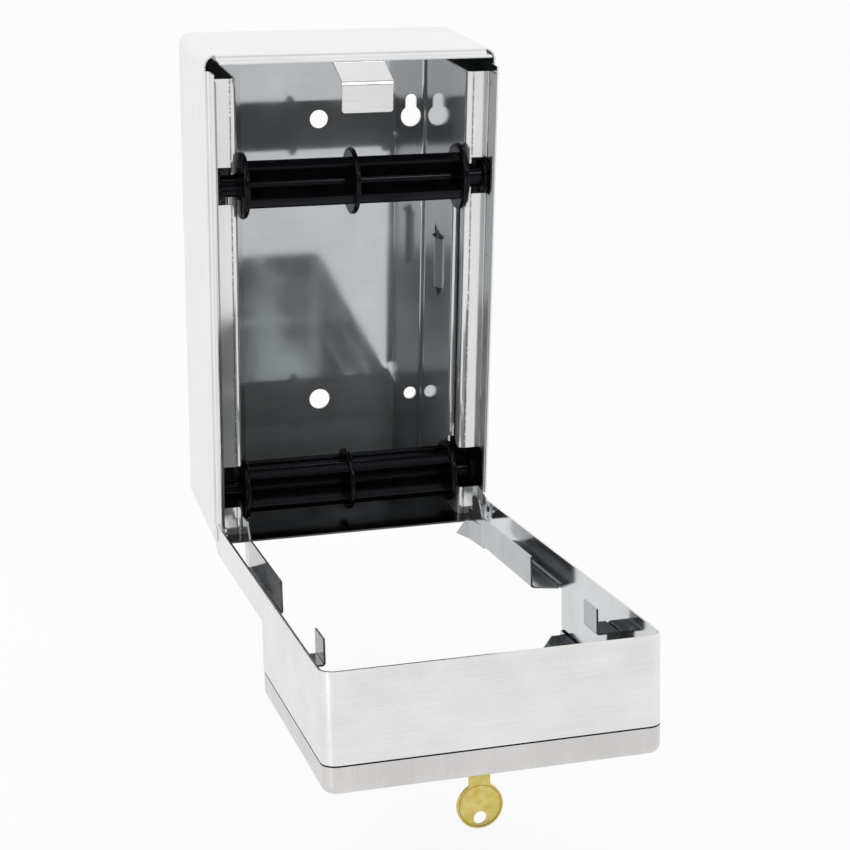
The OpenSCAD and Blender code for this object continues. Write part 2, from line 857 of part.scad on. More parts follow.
// Disc across X with a rounded rim
module rim_disc(r, t, x) {
    round_r = t / 2 - 0.2;
    translate([x, 0, 0]) rotate([0, 90, 0]) rotate_extrude() {
        translate([0, -t / 2]) square([r - round_r, t]);
        translate([r - round_r, -0.2]) square([round_r, 0.4]);
        for (side = [-1, 1]) translate([r - round_r, side * 0.2]) circle(round_r);
    }
}

// Four ribs with a pad along each edge
module rib_section(turn) {
    for (i = [0:3]) rotate(turn + 90 * i) {
        panel([0, -rib_t / 2], [rib_d / 2 - pad_t / 2, rib_t / 2]);
        intersection() {
            difference() {
                circle(rib_d / 2, $fn = 96);
                circle(rib_d / 2 - pad_t, $fn = 96);
            }
            panel([0, -rib_pad / 2], [rib_d, rib_pad / 2]);
        }
    }
    circle(core_r);
}

module spindle(turn) {
    color(black) {
        rotate([90, 0, 90]) translate([0, 0, -disc_out + disc_t / 2]) linear_extrude(2 * disc_out - disc_t)
            rib_section(180 + turn);
        rim_disc(disc_d / 2, mid_disc_t, 0);
        both_sides() {
            rim_disc(disc_d / 2, disc_t, disc_out - disc_t / 2);
            rod_x(collar_r, disc_out - eps, disc_out + collar_t, 0, 0);
            rod_x(journal_r, disc_out - eps, end_in + eps, 0, 0);
            rim_disc(end_disc_d / 2, end_disc_t, end_in + end_disc_t / 2);
        }
    }
}

module upper_spindle() { translate([0, cradle_y, upper_z]) spindle(upper_rib_turn); }
module lower_spindle() { translate([0, track_y, lower_z]) spindle(lower_rib_turn); }

cabinet_shell();
back_plate();
floor_plate();
left_rail();
right_rail();
latch_keeper();
left_hinge_rivet();
right_hinge_rivet();
left_hinge_washer();
right_hinge_washer();
door_band();
front_pan();
left_lower_guard();
right_lower_guard();
left_upper_guard();
right_upper_guard();
lock_barrel();
lock_nut();
lock_plug();
wafer_tumblers();
lock_cam();
cam_screw();
key();
upper_spindle();
lower_spindle();
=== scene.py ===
# %% [markdown]
# # A locking dispenser for two tissue rolls
#
# The real object is a folded stainless steel box for a washroom wall. Its cover hangs open on two
# rivets, two black plastic spindles wait for their rolls, and a brass key stands in the lock.
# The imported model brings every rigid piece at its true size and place. This lesson gives those
# pieces their finishes and makes two of them again in finer detail. Blender works in metres, so a
# length in millimetres is multiplied by MM.

# %% Load the frame
import math

import bpy
from mathutils import Matrix, Vector


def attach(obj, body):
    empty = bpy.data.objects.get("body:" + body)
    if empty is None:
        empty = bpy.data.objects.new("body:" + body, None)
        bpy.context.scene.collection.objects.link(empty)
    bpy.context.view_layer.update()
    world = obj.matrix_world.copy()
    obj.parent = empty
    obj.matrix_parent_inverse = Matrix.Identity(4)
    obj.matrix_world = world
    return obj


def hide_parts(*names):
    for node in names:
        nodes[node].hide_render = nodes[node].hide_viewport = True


MM = 0.001

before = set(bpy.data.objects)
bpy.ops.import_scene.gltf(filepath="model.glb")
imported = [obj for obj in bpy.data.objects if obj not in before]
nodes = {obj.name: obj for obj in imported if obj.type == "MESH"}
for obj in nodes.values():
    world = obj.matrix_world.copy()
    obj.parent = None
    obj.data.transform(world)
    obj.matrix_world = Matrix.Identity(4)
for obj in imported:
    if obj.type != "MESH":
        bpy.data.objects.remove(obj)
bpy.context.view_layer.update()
print("pieces in the frame:", len(nodes))

# %% [markdown]
# ## The camera
#
# The photograph was taken with a long lens, from the left and above. The camera orbits a point, so
# its place is given by an azimuth, an elevation, a roll and a distance. An alternative is to type
# a matrix, but angles are easier to read and to correct.

# %% Camera
AZIMUTH, ELEVATION, ROLL = math.radians(16.14), math.radians(19.69), math.radians(0.99)
DISTANCE = 1177.35 * MM
AIM = Vector((66.57, 0, -107.02)) * MM
FOCAL_PIXELS, FRAME_PIXELS = 1915.28, 850
SENSOR = 36.0  # width of the camera's sensor, in millimetres as Blender takes it

forward = Vector((
    math.sin(AZIMUTH) * math.cos(ELEVATION),
    math.cos(AZIMUTH) * math.cos(ELEVATION),
    -math.sin(ELEVATION),
))
level_right = Vector((math.cos(AZIMUTH), -math.sin(AZIMUTH), 0))
level_up = level_right.cross(forward)
right = level_right * math.cos(ROLL) + level_up * math.sin(ROLL)
up = level_up * math.cos(ROLL) - level_right * math.sin(ROLL)

camera_data = bpy.data.cameras.new("camera")
camera_data.sensor_width = SENSOR
camera_data.lens = SENSOR * FOCAL_PIXELS / FRAME_PIXELS
camera = bpy.data.objects.new("camera", camera_data)
bpy.context.scene.collection.objects.link(camera)
camera_turn = Matrix((right, up, -forward)).transposed().to_4x4()
camera.matrix_world = Matrix.Translation(AIM - forward * DISTANCE) @ camera_turn
bpy.context.scene.camera = camera
print("camera at", [round(v, 3) for v in camera.matrix_world.translation])

# %% [markdown]
# ## Shut and open
#
# The cover hangs open by 82 degrees, but its shape is easiest to think of when it is shut: the
# front faces the room and the top is up. Two directions say where the shut cover's back and top
# point once it hangs open. With them a place is turned from shut to open, and a finish can ask for
# the shut depth and the shut height of any point.

# %% Directions of the shut cover
OPEN_ANGLE = math.radians(82)
HINGE = Vector((0, -90, -128)) * MM
LOCK_Z, LOCK_FACE_Y = 105.0, -143.0  # millimetres, on the shut cover

shut_back = Vector((0, math.cos(OPEN_ANGLE), math.sin(OPEN_ANGLE)))
shut_up = Vector((0, -math.sin(OPEN_ANGLE), math.cos(OPEN_ANGLE)))


def opened(x, y, z):
    """Where a point of the shut cover, in millimetres, lies when the cover hangs open."""
    reach = Vector((0, y, z)) * MM - HINGE
    return Vector((x * MM, 0, 0)) + HINGE + shut_back * reach.y + shut_up * reach.z


print("lock face at", [round(v, 4) for v in opened(0, LOCK_FACE_Y, LOCK_Z)])

# %% [markdown]
# ## Helpers for materials
#
# Every finish here is a network of nodes on one Principled shader. A few short functions make a
# node, join two sockets and reckon with them, so that each finish stays readable. They start from
# the object's own coordinates, which stay with a piece when the cover swings.

# %% Nodes and links
def new_finish(name, metal=0.0):
    """An empty material with one Principled shader; gives the material and its shader."""
    material = bpy.data.materials.new(name)
    material.use_nodes = True
    shader = material.node_tree.nodes["Principled BSDF"]
    shader.inputs["Metallic"].default_value = metal
    return material, shader


def add(owner, kind, **settings):
    """A node of that kind, with its properties or named inputs set."""
    node = owner.node_tree.nodes.new(kind)
    for key, value in settings.items():
        if hasattr(node, key):
            setattr(node, key, value)
        else:
            node.inputs[key.replace("_", " ")].default_value = value
    return node


def join(owner, source, target):
    owner.node_tree.links.new(source, target)


def here(owner):
    """The point's own object coordinates."""
    return add(owner, "ShaderNodeTexCoord").outputs["Object"]


print("node helpers:", [helper.__name__ for helper in (new_finish, add, join, here)])


# %% Sums on sockets
def calculate(owner, operation, first, second=0.0):
    """One sum, each side a socket or a number."""
    node = add(owner, "ShaderNodeMath", operation=operation)
    for socket, value in zip(node.inputs, (first, second)):
        if isinstance(value, (int, float)):
            socket.default_value = value
        else:
            join(owner, value, socket)
    return node.outputs[0]


def plus(owner, first, second):
    return calculate(owner, "ADD", first, second)


def minus(owner, first, second):
    return calculate(owner, "SUBTRACT", first, second)


def times(owner, first, second):
    return calculate(owner, "MULTIPLY", first, second)


def larger(owner, first, second):
    return calculate(owner, "MAXIMUM", first, second)


def hypotenuse(owner, first, second):
    """The long side of a right triangle, from its two short sides."""
    squares = plus(owner, times(owner, first, first), times(owner, second, second))
    return calculate(owner, "SQRT", squares)


def along(owner, direction):
    """How far the point lies along a direction."""
    node = add(owner, "ShaderNodeVectorMath", operation="DOT_PRODUCT")
    node.inputs[1].default_value = direction
    join(owner, here(owner), node.inputs[0])
    return node.outputs["Value"]


def sideways(owner):
    return along(owner, (1, 0, 0))


def backwards(owner):
    return along(owner, (0, 1, 0))


def upwards(owner):
    return along(owner, (0, 0, 1))


def ramp(owner, factor, low, high, low_value=0.0, high_value=1.0, soft=False):
    """Maps a factor from low..high onto low_value..high_value; soft eases both ends."""
    node = add(owner, "ShaderNodeMapRange", interpolation_type="SMOOTHSTEP" if soft else "LINEAR")
    limits = {"From Min": low, "From Max": high, "To Min": low_value, "To Max": high_value}
    for socket, value in limits.items():
        node.inputs[socket].default_value = value
    join(owner, factor, node.inputs["Value"])
    return node.outputs["Result"]


print("sums:", [helper.__name__ for helper in (plus, minus, times, larger, hypotenuse)])


# %% Patterns and colours
def stretched(owner, scales, parts=None):
    """Lengths times their scales, as a pattern's vector; without parts, those of the point."""
    if parts is None:
        node = add(owner, "ShaderNodeMapping", Scale=scales)
        join(owner, here(owner), node.inputs["Vector"])
        return node.outputs["Vector"]
    node = add(owner, "ShaderNodeCombineXYZ")
    for socket, part, scale in zip(node.inputs, parts, scales):
        join(owner, times(owner, part, scale), socket)
    return node.outputs[0]


def noise(owner, vector, detail=3.0):
    node = add(owner, "ShaderNodeTexNoise", Scale=1.0, Detail=detail, Roughness=0.55)
    join(owner, vector, node.inputs["Vector"])
    return node.outputs["Fac"]


def blend(owner, factor, first, second):
    """Between two colours, each a socket or three numbers."""
    node = add(owner, "ShaderNodeMix", data_type="RGBA")
    for socket, value in ((node.inputs["A"], first), (node.inputs["B"], second)):
        if isinstance(value, tuple):
            socket.default_value = (*value, 1)
        else:
            join(owner, value, socket)
    join(owner, factor, node.inputs["Factor"])
    return node.outputs["Result"]


def rough_up(owner, shader, height, strength, distance, edge=0.0):
    """Turns a height into small dents of the surface, and eases its edges by a small radius."""
    node = add(owner, "ShaderNodeBump", Strength=strength, Distance=distance)
    join(owner, height, node.inputs["Height"])
    if edge:
        eased = add(owner, "ShaderNodeBevel", samples=6)
        eased.inputs["Radius"].default_value = edge
        join(owner, eased.outputs["Normal"], node.inputs["Normal"])
    join(owner, node.outputs["Normal"], shader.inputs["Normal"])


def grey(value, blue=0.0):
    """A neutral colour, cooler where blue is above zero and warmer where it is below."""
    return (value * (1 - blue), value, value * (1 + blue * 0.6))


print("a cool grey is", [round(v, 3) for v in grey(0.6, blue=0.05)])

# %% [markdown]
# ## Inside and outside of a sheet
#
# One mesh holds both faces of a bent sheet, yet only the outer face is sanded. A mask tells them
# apart by the depth under the outer skin: what lies deeper than half the sheet is inside. At a
# rounded corner the depth is measured from the arc, or else the corner would count as inside. A
# second material on chosen faces would do too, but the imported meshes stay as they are.

# %% Depth under a skin
SIDE_X, TOP_Z, FRONT_Y = 79 * MM, 135 * MM, -141 * MM   # outer faces of the shut dispenser
CABINET_R, COVER_R, FRONT_R = 6 * MM, 7 * MM, 4 * MM    # outer radii of its corners
CABINET_HALF, COVER_HALF = 0.5 * MM, 0.6 * MM           # half the thickness of each sheet
STEP_FROM, STEP_TO, STEP_IN = -82.8 * MM, -83.8 * MM, 2.2 * MM  # the cabinet's stepped edge


def x_side(owner):
    """How far a point lies from the middle, to either side."""
    return calculate(owner, "ABSOLUTE", sideways(owner))


def shut_height(owner):
    return plus(owner, along(owner, shut_up), HINGE.z - HINGE.dot(shut_up))


def shut_depth(owner):
    return plus(owner, along(owner, shut_back), HINGE.y - HINGE.dot(shut_back))


def round_corner(owner, beyond_a, beyond_b, radius):
    """Distance from a rounded corner's skin, below zero inside, from that to its two faces."""
    a, b = plus(owner, beyond_a, radius), plus(owner, beyond_b, radius)
    reach = hypotenuse(owner, larger(owner, a, 0.0), larger(owner, b, 0.0))
    within = calculate(owner, "MINIMUM", larger(owner, a, b), 0.0)
    return plus(owner, plus(owner, reach, within), -radius)


def cabinet_inside(owner):
    """1 where the point lies nearer the cabinet sheet's inner face, stepped edge included."""
    step = ramp(owner, backwards(owner), STEP_FROM, STEP_TO, 0.0, STEP_IN)
    beyond_side = plus(owner, plus(owner, x_side(owner), step), -SIDE_X)
    beyond_top = plus(owner, plus(owner, upwards(owner), step), -TOP_Z)
    skin = round_corner(owner, beyond_side, beyond_top, CABINET_R)
    return calculate(owner, "LESS_THAN", skin, -CABINET_HALF)


def cover_skin(owner):
    """Distance from the shut cover's outer skin, below zero inside."""
    beyond_side = plus(owner, x_side(owner), -SIDE_X)
    beyond_top = plus(owner, shut_height(owner), -TOP_Z)
    sides = round_corner(owner, beyond_side, beyond_top, COVER_R)
    return round_corner(owner, sides, minus(owner, FRONT_Y, shut_depth(owner)), FRONT_R)


def cover_inside(owner):
    """1 where the point lies nearer the inner face of the cover's band or pan."""
    return calculate(owner, "LESS_THAN", cover_skin(owner), -COVER_HALF)


print("the shut dispenser is", round(2 * SIDE_X, 4), "wide and", round(-FRONT_Y, 4), "deep")

# %% [markdown]
# ## Satin sheet
#
# Stainless sheet for washrooms is sanded along one line on the outside and left smooth on the
# inside. A noise that is stretched about sixtyfold along that line gives fine parallel scratches
# in colour, roughness and height. The inside keeps the mill's finish: smoother, a little darker,
# and so a better mirror. An anisotropic shader alone would show no grain at all.

# %% Satin sheet
FINE, BROAD = (26, 1500), (6, 330)  # cells of a scratch pattern in a metre, along and across
CLOUDS = (34, 34, 34)               # cells of the cloudy wear
# colour of the painted shade in the seam between band and pan
SHADE_COLOUR = (0.02, 0.02, 0.025)


def satin_sheet(name, tone, rough, length, across, inside, inner_tone=0.62, blue=0.0,
                grain=0.02, dark=None):
    """Sheet sanded along a length, smooth where inside is 1 and painted shade where dark is 1."""
    sheet, shader = new_finish(name, metal=1.0)
    line = (length(sheet), across(sheet))
    fine = noise(sheet, stretched(sheet, FINE, line), detail=2.0)
    broad = noise(sheet, stretched(sheet, BROAD, line), detail=4.0)
    clouds = noise(sheet, stretched(sheet, CLOUDS), detail=4.0)
    inner = inside(sheet)

    wear = plus(sheet, times(sheet, clouds, 0.74), times(sheet, fine, 0.10))
    streak = ramp(sheet, plus(sheet, times(sheet, broad, 0.16), wear), 0.36, 0.62)
    outer = blend(sheet, streak, grey(tone - grain, blue), grey(tone + grain, blue))
    dull, bright = grey(inner_tone - 0.04, 0.03), grey(inner_tone + 0.04, 0.03)
    mill = blend(sheet, ramp(sheet, clouds, 0.35, 0.65), dull, bright)
    colour = blend(sheet, inner, outer, mill)
    # painted shade: where the dark mask is 1, the colour is darkened to this
    if dark:
        colour = blend(sheet, dark(sheet), colour, SHADE_COLOUR)
    join(sheet, colour, shader.inputs["Base Color"])

    sanded = ramp(sheet, fine, 0.3, 0.7, rough - 0.06, rough + 0.08)
    smooth = ramp(sheet, clouds, 0.3, 0.7, 0.08, 0.15)
    gap = times(sheet, minus(sheet, smooth, sanded), inner)
    join(sheet, plus(sheet, sanded, gap), shader.inputs["Roughness"])
    scratches = times(sheet, fine, minus(sheet, 1.0, inner))
    rough_up(sheet, shader, scratches, 0.06, 0.00004)
    return sheet


print("scratches a metre, across the grain:", FINE[1])

# %% [markdown]
# ## Which way the grain runs
#
# The grain follows a sheet round its bends. On the cabinet and on the cover's band it runs up each
# side and on across the top, so its length is the way from the middle less the height. On the
# front pan it runs upright and on over the top wall. The tongue that joins the band to the pan
# shows only as a line in the seam between them, painted dark there as the shade in the gap.

# %% Satin finishes
PAN_SIDE_X = 77.5 * MM                             # beyond this lies the pan's side wall
SEAM_FRONT, SEAM_BACK = -127.75 * MM, -126.7 * MM  # shut depths that bound the seam
TONGUE_DEEP = 1.6 * MM                             # the dark part ends this far under the skin


def cabinet_length(owner):
    return minus(owner, x_side(owner), upwards(owner))


def cover_length(owner):
    return minus(owner, x_side(owner), shut_height(owner))


def pan_length(owner):
    return minus(owner, shut_height(owner), shut_depth(owner))


def pan_across(owner):
    """Sideways on the front and the top wall, front to back on the side walls."""
    on_side = calculate(owner, "GREATER_THAN", x_side(owner), PAN_SIDE_X)
    on_front = times(owner, sideways(owner), minus(owner, 1.0, on_side))
    return plus(owner, on_front, times(owner, shut_depth(owner), on_side))


def seam_tongue(owner):
    """1 on the tongue that shows through the seam between band and pan."""
    depth = shut_depth(owner)
    behind = calculate(owner, "GREATER_THAN", depth, SEAM_FRONT)
    before = calculate(owner, "LESS_THAN", depth, SEAM_BACK)
    near = calculate(owner, "GREATER_THAN", cover_skin(owner), -TONGUE_DEEP)
    return times(owner, times(owner, behind, before), near)


def nowhere(owner):
    """0 on every point, for a sheet that is sanded on both faces."""
    return ramp(owner, x_side(owner), 5.0, 6.0)


finishes = {
    "cabinet": satin_sheet("satin_cabinet", tone=0.86, rough=0.30, length=cabinet_length,
                           across=backwards, inside=cabinet_inside, inner_tone=0.66,
                           grain=0.012),
    "band": satin_sheet("satin_band", tone=0.81, rough=0.28, length=cover_length,
                        across=shut_depth, inside=cover_inside, blue=-0.012, grain=0.035),
    # the pan gets painted shade along the seam, standing in for the shadow in the gap
    "pan": satin_sheet("satin_pan", tone=0.66, rough=0.28, length=pan_length,
                       across=pan_across, inside=cover_inside, blue=-0.02, grain=0.045,
                       dark=seam_tongue),
    "keeper": satin_sheet("satin_keeper", tone=0.76, rough=0.24, length=sideways,
                          across=upwards, inside=nowhere),
}
print("satin finishes:", list(finishes))

# %% [markdown]
# ## Bright mill steel
#
# The plate, the rails and the guards are sheet as it left the mill: nearly a mirror, but never
# quite flat or clean. A slow noise bends the reflections, finer clouds dull them in places, and a
# little of the shader is left unmetallic, which gives the milky haze of old fingerprints. The
# floor tray is the same sheet painted nearly black, as painted shade for the dark box around it.

# %% Bright steel
def bright_sheet(name, tone, rough, blue=0.04, haze=0.12, drawn=(26, 26, 170)):
    """Mill sheet with haze and drawn lines; gives the material, its shader and its colour."""
    sheet, shader = new_finish(name, metal=1.0 - haze)
    waves = noise(sheet, stretched(sheet, (8, 8, 4)), detail=1.0)
    clouds = noise(sheet, stretched(sheet, (34, 34, 14)), detail=5.0)
    lines = noise(sheet, stretched(sheet, drawn))
    wear = plus(sheet, times(sheet, clouds, 0.75), times(sheet, lines, 0.25))
    dull, bright = grey(tone - 0.05, blue), grey(tone + 0.06, blue)
    colour = blend(sheet, ramp(sheet, wear, 0.35, 0.65), dull, bright)
    gloss = ramp(sheet, clouds, 0.3, 0.75, rough - 0.02, rough + 0.06)
    join(sheet, gloss, shader.inputs["Roughness"])
    rough_up(sheet, shader, waves, 0.2, 0.003)
    return sheet, shader, colour


def plain_bright(*settings, **more):
    sheet, shader, colour = bright_sheet(*settings, **more)
    join(sheet, colour, shader.inputs["Base Color"])
    return sheet


finishes["back"] = plain_bright("bright_back", tone=0.67, rough=0.055, blue=0.045, haze=0.38)
# painted shade: the tray's near-black tone stands in for the dark inside of the box
finishes["floor"] = plain_bright("dull_floor", tone=0.08, rough=0.14, haze=0.01)
finishes["guard"] = plain_bright("bright_guard", tone=0.42, rough=0.11, blue=0.05)
print("finishes so far:", list(finishes))

# %% [markdown]
# ## The rails
#
# Each rail is one bent strip. Its front face is bright, with a dotted line of scuffs along the
# bend. The web beside the rolls and the leg on the cabinet's side are painted darker as painted
# shade, and the leg carries the burnt marks of three spot welds. Each colour is placed by its
# distance from the middle, so that one finish serves both rails.

# %% Rail steel
WEB_X = 62.9 * MM                          # within this lies the web's face beside the rolls
SCUFF_X, SCUFF_HALF = 66.1 * MM, 0.7 * MM  # the dotted line and half its width
FACE_Y = -83 * MM                          # the front face lies before this
LEG_FROM, LEG_TO = 74.2 * MM, 74.7 * MM    # the leg's colour sets in between these
WELDS = ((-87.0 * MM, 117.0 * MM), (-87.9 * MM, 22.8 * MM), (-89.5 * MM, -27.7 * MM))
WELD_R, WELD_EDGE = 0.9 * MM, 1.4 * MM     # a burnt mark is full to one and gone at the other


def scuffed_line(owner, side):
    """1 on the dots of the line along the bend, on the front face only."""
    off_line = calculate(owner, "ABSOLUTE", minus(owner, side, SCUFF_X))
    line = ramp(owner, off_line, 0.0, SCUFF_HALF, 1.0, 0.0)
    dots = noise(owner, stretched(owner, (400, 400, 900)), detail=1.0)
    front = ramp(owner, backwards(owner), FACE_Y + 0.1 * MM, FACE_Y - 0.1 * MM)
    broken = times(owner, line, ramp(owner, dots, 0.30, 0.48))
    return times(owner, broken, times(owner, front, 0.95))


def weld_marks(owner):
    """1 on the spot welds, whose places are given by depth and height."""
    marks = 0.0
    for y, z in WELDS:
        off_y = plus(owner, backwards(owner), -y)
        off_z = plus(owner, upwards(owner), -z)
        mark = ramp(owner, hypotenuse(owner, off_y, off_z), WELD_R, WELD_EDGE, 1.0, 0.0)
        marks = larger(owner, mark, marks)
    return marks


def rail_steel(name):
    """Bright sheet with scuffs on its face, painted shade on web and leg, and weld marks."""
    rail, shader, colour = bright_sheet(name, tone=0.80, rough=0.085, blue=0.0, haze=0.28,
                                        drawn=(700, 700, 10))
    side = x_side(rail)
    web = ramp(rail, side, WEB_X, WEB_X + 0.6 * MM, 1.0, 0.0)
    leg = ramp(rail, side, LEG_FROM, LEG_TO)
    colour = blend(rail, scuffed_line(rail, side), colour, grey(0.10))
    # painted shade: the web and the leg are darker copies of the same bright sheet
    colour = blend(rail, web, colour, grey(0.58, 0.04))
    colour = blend(rail, leg, colour, grey(0.34, 0.06))
    burnt = times(rail, weld_marks(rail), leg)
    join(rail, blend(rail, burnt, colour, (0.10, 0.09, 0.08)), shader.inputs["Base Color"])
    return rail


finishes["rail"] = rail_steel("bright_rail")
print("rail nodes:", len(finishes["rail"].node_tree.nodes))

# %% [markdown]
# ## Plastic, brass and plate
#
# The spindles are glossy black mouldings, the key and the plug are plain yellow brass that hands
# have dulled, and the lock's body, its nut and the rivets are bright plated steel. A Bevel node
# rounds the mouldings' edges for the light only, which costs no faces. On the key's bow, a darker
# ring is drawn along the step of the coined rim.

# %% Black plastic
def black_plastic(name):
    moulding, shader = new_finish(name)
    mottle = noise(moulding, stretched(moulding, (70, 70, 70)), detail=4.0)
    colour = blend(moulding, mottle, (0.002, 0.002, 0.003), (0.005, 0.005, 0.006))
    join(moulding, colour, shader.inputs["Base Color"])
    join(moulding, ramp(moulding, mottle, 0.3, 0.7, 0.12, 0.22), shader.inputs["Roughness"])
    shader.inputs["Specular IOR Level"].default_value = 0.14
    shader.inputs["Specular Tint"].default_value = (0.82, 0.90, 1.0, 1)
    pebble = noise(moulding, stretched(moulding, (1500, 1500, 1500)), detail=2.0)
    rough_up(moulding, shader, pebble, 0.08, 0.00005, edge=0.4 * MM)
    return moulding


finishes["black"] = black_plastic("gloss_black")
print("black plastic nodes:", len(finishes["black"].node_tree.nodes))

# %% Brass and plate
BOW_Y, BOW_R, RIM = -167.0, 11.0, 0.95  # millimetres: the key's bow and the width of its rim
RIM_RING_R = BOW_R - RIM - 0.02             # where a darker ring lies along the rim


def brass(name):
    metal, shader = new_finish(name, metal=1.0)
    stain = noise(metal, stretched(metal, (260, 260, 260)), detail=5.0)
    specks = noise(metal, stretched(metal, (900, 900, 900)), detail=2.0)
    colour = blend(metal, ramp(metal, stain, 0.35, 0.65), (0.60, 0.47, 0.11), (0.74, 0.62, 0.23))
    colour = blend(metal, ramp(metal, specks, 0.62, 0.72, 0.0, 0.6), colour, (0.30, 0.22, 0.07))
    # a darker ring is drawn along the step of the coined rim
    from_bow = add(metal, "ShaderNodeVectorMath", operation="DISTANCE")
    from_bow.inputs[1].default_value = opened(0, BOW_Y, LOCK_Z)
    join(metal, here(metal), from_bow.inputs[0])
    off_rim = minus(metal, from_bow.outputs["Value"], RIM_RING_R * MM)
    rim_ring = ramp(metal, calculate(metal, "ABSOLUTE", off_rim), 0.1 * MM, 0.4 * MM, 0.75, 0.0)
    join(metal, blend(metal, rim_ring, colour, (0.24, 0.17, 0.04)), shader.inputs["Base Color"])
    join(metal, ramp(metal, stain, 0.3, 0.7, 0.24, 0.40), shader.inputs["Roughness"])
    scratch = noise(metal, stretched(metal, (2200, 90, 900)), detail=2.0)
    rough_up(metal, shader, scratch, 0.2, 0.00005)
    return metal


def plated(name):
    plate, shader = new_finish(name, metal=1.0)
    wear = noise(plate, stretched(plate, (400, 400, 400)))
    join(plate, blend(plate, wear, grey(0.72), grey(0.84)), shader.inputs["Base Color"])
    join(plate, ramp(plate, wear, 0.3, 0.7, 0.10, 0.2), shader.inputs["Roughness"])
    return plate


finishes["brass"] = brass("yellow_brass")
finishes["plated"] = plated("plated_lock")
print("all finishes:", list(finishes))

# %% [markdown]
# ## Each piece gets its finish
#
# The cabinet and the cover are satin outside, and what sits inside them is bright. A finish goes
# into the one material slot of each piece, and pieces that share a finish share the material too,
# so that a later change is made only once.

# %% Give out the finishes
worn_by = {
    "cabinet": ["cabinet_shell"],
    "band": ["door_band"],
    "pan": ["front_pan"],
    "keeper": ["latch_keeper"],
    "back": ["back_plate"],
    "floor": ["floor_plate"],
    "rail": ["left_rail", "right_rail"],
    "guard": ["left_lower_guard", "right_lower_guard", "left_upper_guard", "right_upper_guard"],
    "plated": ["left_hinge_rivet", "right_hinge_rivet", "left_hinge_washer",
               "right_hinge_washer", "lock_barrel", "lock_nut", "lock_cam", "cam_screw"],
    "brass": ["lock_plug", "wafer_tumblers", "key"],
    "black": ["upper_spindle", "lower_spindle"],
}
for finish, wearers in worn_by.items():
    for wearer in wearers:
        slots = nodes[wearer].data.materials
        slots.clear()
        slots.append(finishes[finish])
print("finishes:", len(finishes), "on", sum(map(len, worn_by.values())), "pieces")

# %% [markdown]
# ## Tools for new pieces
#
# The key and the lock's body are worth making again, because bevels, rims and threads this small
# are quicker to shape here. Both are drawn as if the cover were shut and are then swung open. A
# shape can be cut with another, and a bevel along all sharp edges catches the light.

# %% Primitives
def deselect():
    """Leaves edit mode and selects nothing, since an operator acts on all that is selected."""
    if bpy.context.object and bpy.context.object.mode != "OBJECT":
        bpy.ops.object.mode_set(mode="OBJECT")
    bpy.ops.object.select_all(action="DESELECT")


def choose(piece):
    """Makes a piece the only one that operators act on."""
    deselect()
    piece.select_set(True)
    bpy.context.view_layer.objects.active = piece


def settle(name):
    """Puts the newest primitive's place into its mesh, and names it."""
    bpy.ops.object.transform_apply(location=True, rotation=True, scale=True)
    piece = bpy.context.object
    piece.name = piece.data.name = name
    return piece


def block(low, high):
    """A block between two corners, in millimetres."""
    deselect()
    middle = [(a + b) / 2 * MM for a, b in zip(low, high)]
    size = [(b - a) * MM for a, b in zip(low, high)]
    bpy.ops.mesh.primitive_cube_add(size=1, location=middle, scale=size)
    return settle("block")


def disc(radius, low, high, y, sides):
    """A round disc lying flat between two heights, its middle at that y, in millimetres."""
    deselect()
    bpy.ops.mesh.primitive_cylinder_add(
        vertices=sides, radius=radius * MM, depth=(high - low) * MM,
        location=(0, y * MM, (low + high) / 2 * MM))
    return settle("disc")


print("pieces that the load left selected:", len(bpy.context.selected_objects))

# %% Cut, ease and swing
SWING = (Matrix.Translation(HINGE) @ Matrix.Rotation(OPEN_ANGLE, 4, "X")
         @ Matrix.Translation(-HINGE))
SMOOTH_BELOW, BEVEL_ABOVE = math.radians(40), math.radians(32)


def apply_modifier(piece, kind, **settings):
    """Adds a modifier, sets it and applies it."""
    choose(piece)
    modifier = piece.modifiers.new(kind.lower(), kind)
    for key, value in settings.items():
        setattr(modifier, key, value)
    bpy.ops.object.modifier_apply(modifier=modifier.name)


def carve(piece, tool, operation="DIFFERENCE"):
    """Cuts a tool out of a piece, or adds it, and throws the tool away."""
    apply_modifier(piece, "BOOLEAN", object=tool, operation=operation, solver="EXACT")
    bpy.data.objects.remove(tool)


def ease_edges(piece, width):
    apply_modifier(piece, "BEVEL", width=width * MM, segments=2, limit_method="ANGLE",
                   angle_limit=BEVEL_ABOVE)
    bpy.ops.object.shade_smooth_by_angle(angle=SMOOTH_BELOW)


def swing_open(piece, body, finish, stands_for):
    """Swings a piece open with the cover, gives it its finish and hangs it on its body."""
    choose(piece)
    piece.matrix_world = SWING
    bpy.ops.object.transform_apply(location=True, rotation=True, scale=True)
    piece.data.materials.clear()
    piece.data.materials.append(finishes[finish])
    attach(piece, body)
    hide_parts(stands_for)
    print(piece.name, len(piece.data.polygons), "faces")


print("the cover swings about", [round(v, 3) for v in HINGE])

# %% [markdown]
# ## The key
#
# The flat key is stamped from brass: a round bow with a coined rim and a hole, a short neck and a
# blade with one row of cuts and a milled groove on each face. Drawing its outline as one curve
# would work, but adding and cutting plain solids keeps each length readable.

# %% Key blank
KEY_HALF, NECK_HALF, BLADE_HALF = 0.95, 5.0, 3.8  # half thickness, half widths; millimetres
KEY_LOW, KEY_HIGH = LOCK_Z - KEY_HALF, LOCK_Z + KEY_HALF
SHOULDER_Y, BLADE_TIP = -143.8, -121.0
HOLE_R, HOLE_OFF = 3.15, 6.0                      # the hole, and how far out it lies in the bow
RIM_STEP = 0.16                                   # depth of the coining inside the rim
GROOVE_X, GROOVE_HALF, GROOVE_DEEP, GROOVE_END = 1.2, 0.7, 0.42, -149.5
THROUGH = 2                                       # a cutter reaches this far past the key's middle

